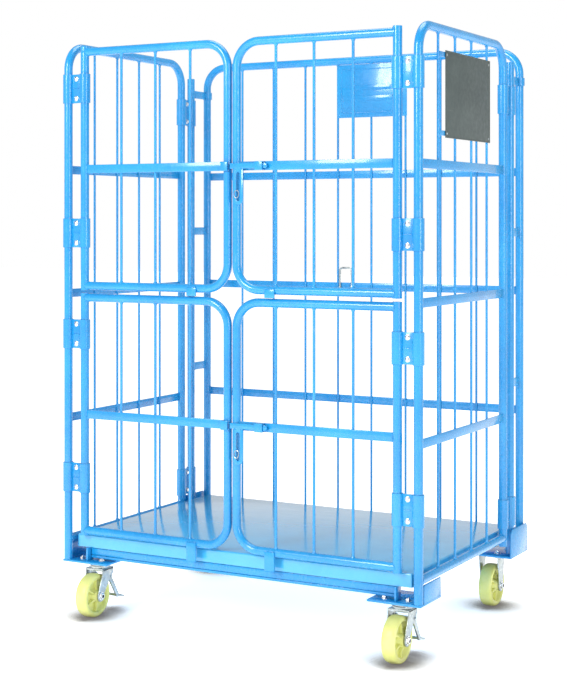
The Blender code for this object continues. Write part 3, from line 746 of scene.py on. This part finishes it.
def latch(level, z):
    """The sliding bolt with its slotted handle."""
    low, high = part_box(f"{level}_latch_bolt")
    front, back = low.y - FRONT, high.y - FRONT
    body = f"{level}_latch"
    centre_x = 0.028
    half = BOLT_HALF
    tip, tail = low.x, high.x - half
    arc = [math.pi / 2 - math.pi * i / 14 for i in range(15)]
    strip = [(tip, z - half), (tip, z + half)]
    strip += [(tail + half * math.cos(a), z + half * math.sin(a)) for a in arc]
    shapes = [slab(strip, "Y", front, back, 0.0007)]
    foot = z - HANDLE_DROP
    top = z + 0.0058
    wide = 0.016
    rounded = round_slot(centre_x, top, foot, wide)
    # the handle's straight top edge has as many points as the slot's round one
    top_edge = [(centre_x + wide - 2 * wide * i / 12, top) for i in range(13)]
    outer = rounded[:len(rounded) // 2] + top_edge
    inner = round_slot(centre_x, z - 0.023, foot, 0.006)
    shapes.append(frame_plate(outer, inner, "Y", front + 0.0002, back - 0.0002, 0.0007))
    shapes.append(dome((tail - 0.002, front, z), "Y", 0.0042, 0.0007, -1))
    weld_z = z - half - 0.0012
    for x in (centre_x - 0.011, centre_x + 0.011):
        shapes.append(bead((x - 0.003, front, weld_z), (x + 0.003, front, weld_z), 0.0014, 5))
    piece(f"{level}_latch_bolt_fine", shapes, "paint", body, f"{level}_latch_bolt")
    clip = wire_ring(Vector((centre_x - 0.004, front - 0.0008, z - 0.078)))
    piece(f"{level}_latch_clip", [clip], "zinc", body)


def wire_ring(centre, steps=30):
    """An oval ring of thin wire that hangs in the handle's slot."""
    out = Vector((0, 1, 0))
    turns = [TAU * i / steps for i in range(steps)]
    wide, deep, high = 0.0075, 0.0015, 0.0105
    ring = [centre + Vector((wide * math.cos(a), deep * math.sin(a), high * math.sin(a))) for a in turns]
    loops = []
    for i, point in enumerate(ring):
        ahead = (ring[(i + 1) % steps] - ring[i - 1]).normalized()
        side = ahead.cross(out).normalized()
        loops.append([point + side * u + out * v for u, v in turn(0.0011, 8)])
    return skin(loops, "join")


# ---- deck --------------------------------------------------------------------------------
def deck():
    """The folded sheet with its stiffeners, and the beam along its front."""
    low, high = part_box("deck_tray")
    x = high.x
    y = (low.y - FRONT, high.y - FRONT)
    foot, top = low.z + 0.0002, high.z
    bm = bmesh.new()
    bmesh.ops.create_cube(bm, size=1.0)
    for vert in bm.verts:
        at_y = y[0] if vert.co.y < 0 else y[1]
        at_z = foot if vert.co.z < 0 else top
        vert.co = Vector((math.copysign(x, vert.co.x), at_y, at_z))
    bmesh.ops.delete(bm, geom=[f for f in bm.faces if f.normal.z < -0.5], context="FACES_ONLY")
    bmesh.ops.bevel(bm, geom=[e for e in bm.edges if len(e.link_faces) == 2], offset=0.0045, segments=5,
                    profile=0.5, affect="EDGES")
    sheet = bm.faces[:]
    bmesh.ops.recalc_face_normals(bm, faces=sheet)
    bmesh.ops.solidify(bm, geom=sheet, thickness=0.0028)
    bmesh.ops.recalc_face_normals(bm, faces=bm.faces)
    shapes = [bm]
    for at in (0.25, 0.50):
        shapes.append(block((-x + 0.003, x - 0.003), (at, at + 0.004), (0.215, top - 0.0015), 0.0006))
    for side in (-1, 1):
        pad = sorted((side * 0.488, side * 0.508))
        shapes.append(block(pad, (0.0150, 0.030), (0.2058, top - 0.0015), 0.0006))
    piece("deck_sheet", shapes, "deck", "deck", "deck_tray", sharp=30)
    low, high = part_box("deck_front_beam")
    near, far = low.y - FRONT, high.y - FRONT
    reach = high.x
    step = low.z + 0.0085
    core_x, core_y = (0.002 - reach, reach - 0.002), (near + 0.004, far - 0.002)
    shapes = [block((-reach, reach), (near + 0.0012, far), (step, high.z - 0.0022), 0.0012),
              block((-reach, reach), (near, far), (low.z, step - 0.0009), 0.0012),
              block(core_x, core_y, (low.z + 0.004, high.z - 0.0001), 0.0005)]
    piece("deck_beam_fine", shapes, "paint", "deck", "deck_front_beam")


# ---- castors -----------------------------------------------------------------------------
def wheel(node, body):
    """A cast nylon wheel: crowned tread, recessed sides with ribs, and a steel bush."""
    c = middle(node)
    half = [(0.0250, 0.0075), (0.0250, 0.0145), (0.0242, 0.0155), (0.0225, 0.0170), (0.0080, 0.0195),
            (0.0065, 0.0215), (0.0065, 0.0425), (0.0080, 0.0450), (0.0168, 0.0475), (0.0183, 0.0490),
            (0.0196, 0.0530), (0.0196, 0.0565), (0.0186, 0.0595), (0.0160, 0.0617), (0.0115, 0.0630),
            (0.0050, WHEEL_R)]
    profile = half + [(-a, r) for a, r in reversed(half)]
    shapes = [turned(profile, c, "X", 72, "join")]
    ribs = 6
    for i in range(ribs):
        angle = TAU * (i + 0.5) / ribs
        out = Vector((0, math.cos(angle), math.sin(angle)))
        over = Vector((0, -math.sin(angle), math.cos(angle)))
        for side in (-1, 1):
            near = [c + Vector((side * a, 0, 0)) + out * r + over * w for a, r, w in WHEEL_RIB]
            far = [c + Vector((side * a, 0, 0)) + out * r - over * w for a, r, w in WHEEL_RIB]
            shapes.append(soften(skin([near, far]), 0.0010))
    piece(f"{node}_fine", shapes, "nylon", body, node, sharp=45)
    face = ((0.0246, 0.0108), (0.0262, 0.0108), (0.0266, 0.0100), (0.0266, 0.0068), (0.0246, 0.0068))
    bush = [turned([(side * a, r) for a, r in face], c, "X", 32, "join") for side in (-1, 1)]
    piece(f"{node}_bush", bush, "bolt", body)


def axle(node, body):
    """A pin with a nut outside each fork leg."""
    c = middle(node)
    pin = [(-0.0380, 0.0052), (-0.0372, 0.0060), (0.0372, 0.0060), (0.0380, 0.0052)]
    shapes = [turned(pin, c, "X", 24)]
    for side in (-1, 1):
        shapes += hexagon(c + Vector((side * (FORK_OUT + 0.0003), 0, 0)), "X", 0.0165, 0.0062, side)
    piece(f"{node}_fine", shapes, "bolt", body, node)


def cheek(x, axle_y, top_y, top_z, foot_r):
    """A fork's two legs of pressed plate: waisted, each with a raised boss round the axle."""
    low_arc = [math.radians(a) for a in range(-200, 21, 20)]
    boss = [(axle_y + foot_r * math.cos(a), WHEEL_R + foot_r * math.sin(a)) for a in low_arc]
    waist = (top_y[0] + top_y[1]) / 2 * 0.45 + axle_y * 0.55
    neck_z = WHEEL_R + 0.45 * (top_z - WHEEL_R)
    outline = boss + [(waist + 0.0200, neck_z), (top_y[1], top_z - 0.016), (top_y[1], top_z),
                      (top_y[0], top_z), (top_y[0], top_z - 0.016), (waist - 0.0200, neck_z)]
    shapes = []
    for side in (-1, 1):
        span = sorted((x + side * FORK_IN, x + side * FORK_OUT))
        shapes.append(slab(outline, "X", span[0], span[1], 0.0007))
        boss_end = [(-side * 0.0006, 0.0135), (side * 0.0002, 0.0132)]
        shapes.append(turned(boss_end, (x + side * FORK_OUT, axle_y, WHEEL_R), "X", 32))
    return shapes


def plate_bolts(name, body, x, y, plate_node):
    """Four bolts through the castor's plate, with nuts above."""
    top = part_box(plate_node)[0].z + 0.006
    thread = [(0, 0.0038), (0.0095, 0.0038), (0.0103, 0.0030)]
    bolts = []
    for at_x in (x - PLATE_BOLT_X, x + PLATE_BOLT_X):
        for at_y in (y - PLATE_BOLT_Y, y + PLATE_BOLT_Y):
            bolts += hexagon((at_x, at_y, top), "Z", 0.013, 0.0068)
            bolts.append(turned(thread, (at_x, at_y, top), "Z", 18))
            bolts.append(dome((at_x, at_y, PLATE_FOOT), "Z", 0.0072, 0.0036, -1))
    piece(f"{name}_plate_bolts", bolts, "bolt", body)


def castor_plate(x, y):
    """The top plate, its corners cut off."""
    cut = 0.010
    x0, x1, y0, y1 = x - 0.0425, x + 0.0425, y - 0.050, y + 0.050
    outline = [(x0 + cut, y0), (x1 - cut, y0), (x1, y0 + cut), (x1, y1 - cut),
               (x1 - cut, y1), (x0 + cut, y1), (x0, y1 - cut), (x0, y0 + cut)]
    return slab(outline, "Z", PLATE_FOOT, PLATE_TOP, 0.0012)


def rigid_castor(name):
    """A rear castor, fixed to the frame."""
    c = middle(f"{name}_rear_wheel")
    shapes = [castor_plate(c.x, c.y)] + cheek(c.x, c.y, (c.y - 0.026, c.y + 0.026), 0.1587, 0.0175)
    for side in (-1, 1):
        inner = c.x + side * FORK_IN
        shapes.append(bead((inner, c.y - 0.024, 0.1565), (inner, c.y + 0.024, 0.1565), 0.0020))
    piece(f"{name}_rear_fork_fine", shapes, "zinc", "rear_frame", f"{name}_rear_fork")
    wheel(f"{name}_rear_wheel", f"{name}_rear_wheel")
    axle(f"{name}_rear_axle", "rear_frame")
    plate_bolts(f"{name}_rear", "rear_frame", c.x, c.y, f"{name}_rear_plate")


def swivel_castor(name):
    """A front castor: plate, ball race, fork, wheel and brake pedal."""
    plate = middle(f"{name}_front_swivel_plate")
    c = middle(f"{name}_front_wheel")
    x, y = plate.x, plate.y
    body = f"{name}_swivel"
    stands_for = f"{name}_front_swivel_plate"
    piece(f"{name}_swivel_plate_fine", [castor_plate(x, y)], "zinc", f"{name}_side", stands_for)
    plate_bolts(f"{name}_front", f"{name}_side", x, y, f"{name}_front_plate")
    rings = [(0.1400, 0.0290), (0.1430, 0.0300), (0.1465, 0.0290), (0.1472, 0.0262), (0.1490, 0.0262),
             (0.1500, 0.0300), (0.1540, 0.0310), (0.1562, 0.0290), (0.1564, 0.0200)]
    race = turned(rings, (x, y, 0), "Z", 48)
    pin = turned([(0.1270, 0.0060), (0.1280, 0.0078), (0.1335, 0.0078)], (x, y, 0), "Z", 6)
    crown = block((x - FORK_OUT, x + FORK_OUT), (y - 0.0300, y + 0.0240), (0.1330, 0.1405), 0.0022)
    shapes = [crown, race, pin] + cheek(x, c.y, (y - 0.0298, y + 0.0238), 0.1395, 0.0165)
    piece(f"{name}_front_fork_fine", shapes, "zinc", body, f"{name}_front_fork")
    wheel(f"{name}_front_wheel", f"{name}_front_wheel")
    axle(f"{name}_front_axle", body)
    pedal(name, x, y)


def pedal(name, x, swivel_y):
    """The brake lever: two arms from a cross pin to a ribbed tread plate."""
    pin_y, pin_z = swivel_y + 0.012, 0.112
    far_y, far_z = swivel_y + 0.054, 0.047
    pin = [(-0.0335, 0.0022), (-0.0328, 0.0030), (0.0328, 0.0030), (0.0335, 0.0022)]
    shapes = [turned(pin, (x, pin_y, pin_z), "X", 20)]
    tilt = math.atan2(far_z - pin_z, far_y - pin_y)
    head = [tilt + math.pi / 2 + math.pi * i / 10 for i in range(11)]
    tail = [tilt - math.pi / 2 + math.pi * i / 10 for i in range(11)]
    outline = ([(pin_y + 0.0075 * math.cos(a), pin_z + 0.0075 * math.sin(a)) for a in head]
               + [(far_y + 0.006 * math.cos(a), far_z + 0.006 * math.sin(a)) for a in tail])
    for low, high in ((-0.0265, -0.0215), (0.0215, 0.0265)):
        shapes.append(slab(outline, "X", x + low, x + high, 0.0008))
    tread = [(swivel_y + 0.046, 0.0450), (swivel_y + 0.088, 0.0350), (swivel_y + 0.088, 0.0392),
             (swivel_y + 0.086, 0.0410), (swivel_y + 0.046, 0.0515)]
    shapes.append(slab(tread, "X", x - 0.0268, x + 0.0268, 0.0009))
    for i in range(5):
        y = swivel_y + 0.056 + 0.006 * i
        z = 0.0511 - (y - swivel_y - 0.046) * 0.2625
        shapes.append(tube([(x - 0.020, y, z), (x + 0.020, y, z)], 0.0012, 10))
    stands_for = [f"{name}_{part}" for part in ("brake_pedal", "pedal_arm_a", "pedal_arm_b")]
    piece(f"{name}_pedal_fine", shapes, "zinc", f"{name}_pedal", *stands_for)


# ---- the object --------------------------------------------------------------------------
rear_panel()
sign_plate()
deck_catch()
deck()
label_plate()
for side_name, sign in SIDES.items():
    side_panel(side_name, sign)
    offset_post(side_name, sign)
    rigid_castor(side_name)
    swivel_castor(side_name)
    for end in ("upper", "lower"):
        clamp(f"{side_name}_rear_clamp_{end}", f"{side_name}_rear_link", (0, 1, 0))
        leaf(side_name, sign, end)
        for letter in "ab":
            clamp(f"{side_name}_{end}_clamp_{letter}", f"{side_name}_{end}_link", (1, 0, 0))


# ---- floor, light and camera -------------------------------------------------------------
def floor():
    """A wide pale floor that isn't part of the object."""
    bm = bmesh.new()
    bmesh.ops.create_grid(bm, x_segments=8, y_segments=8, size=25)
    mesh = bpy.data.meshes.new("floor")
    bm.to_mesh(mesh)
    bm.free()
    made = bpy.data.objects.new("floor", mesh)
    made.location.z = -0.0002
    mesh.materials.append(floor_coat("pale_floor"))
    bpy.context.scene.collection.objects.link(made)


def softbox(name, place, target, size, power):
    """A rectangular lamp aimed at a point."""
    light = bpy.data.lights.new(name, "AREA")
    light.shape = "RECTANGLE"
    light.size, light.size_y = size
    light.energy = power
    made = bpy.data.objects.new(name, light)
    made.location = place
    made.rotation_euler = (Vector(target) - Vector(place)).to_track_quat("-Z", "Y").to_euler()
    bpy.context.scene.collection.objects.link(made)


def studio():
    """A white backdrop, a dimmer room that the gloss reflects, and three softboxes."""
    world = bpy.data.worlds.new("studio")
    world.use_nodes = True
    bpy.context.scene.world = world
    tree = world.node_tree
    backdrop = tree.nodes["Background"]
    backdrop.inputs["Color"].default_value = (1, 1, 1, 1)
    backdrop.inputs["Strength"].default_value = 1.0
    place = tree.nodes.new("ShaderNodeTexCoord")
    height = tree.nodes.new("ShaderNodeSeparateXYZ")
    tree.links.new(place.outputs["Generated"], height.inputs["Vector"])
    ramp = tree.nodes.new("ShaderNodeValToRGB")
    tree.links.new(height.outputs["Z"], ramp.inputs["Fac"])
    for stop, level, at in zip(ramp.color_ramp.elements, (0.80, 0.42), (0.02, 0.6)):
        stop.position = at
        stop.color = (level, level, level, 1)
    room = tree.nodes.new("ShaderNodeBackground")
    tree.links.new(ramp.outputs["Color"], room.inputs["Color"])
    path = tree.nodes.new("ShaderNodeLightPath")
    mix = tree.nodes.new("ShaderNodeMixShader")
    tree.links.new(path.outputs["Is Camera Ray"], mix.inputs["Fac"])
    tree.links.new(room.outputs["Background"], mix.inputs[1])
    tree.links.new(backdrop.outputs["Background"], mix.inputs[2])
    tree.links.new(mix.outputs["Shader"], tree.nodes["World Output"].inputs["Surface"])
    softbox("key", (-1.2, -4.6, 3.0), (0, 0, 0.8), (1.4, 2.2), 165)
    softbox("fill", (4.4, -2.2, 1.9), (0, 0, 0.8), (0.9, 2.6), 60)
    softbox("top", (0.2, 0.4, 4.2), (0, 0, 0), (2.6, 2.0), 60)


def camera():
    """A level camera turned to the photograph's angle, its picture shifted down."""
    data = bpy.data.cameras.new("camera")
    data.lens = CAMERA_LENS
    data.shift_y = CAMERA_SHIFT
    made = bpy.data.objects.new("camera", data)
    made.location = (*CAMERA_XY, CAMERA_Z)
    made.rotation_euler = (math.radians(90), 0, CAMERA_TURN)
    bpy.context.scene.collection.objects.link(made)
    bpy.context.scene.camera = made


floor()
studio()
camera()
bpy.context.scene.view_settings.view_transform = "Standard"
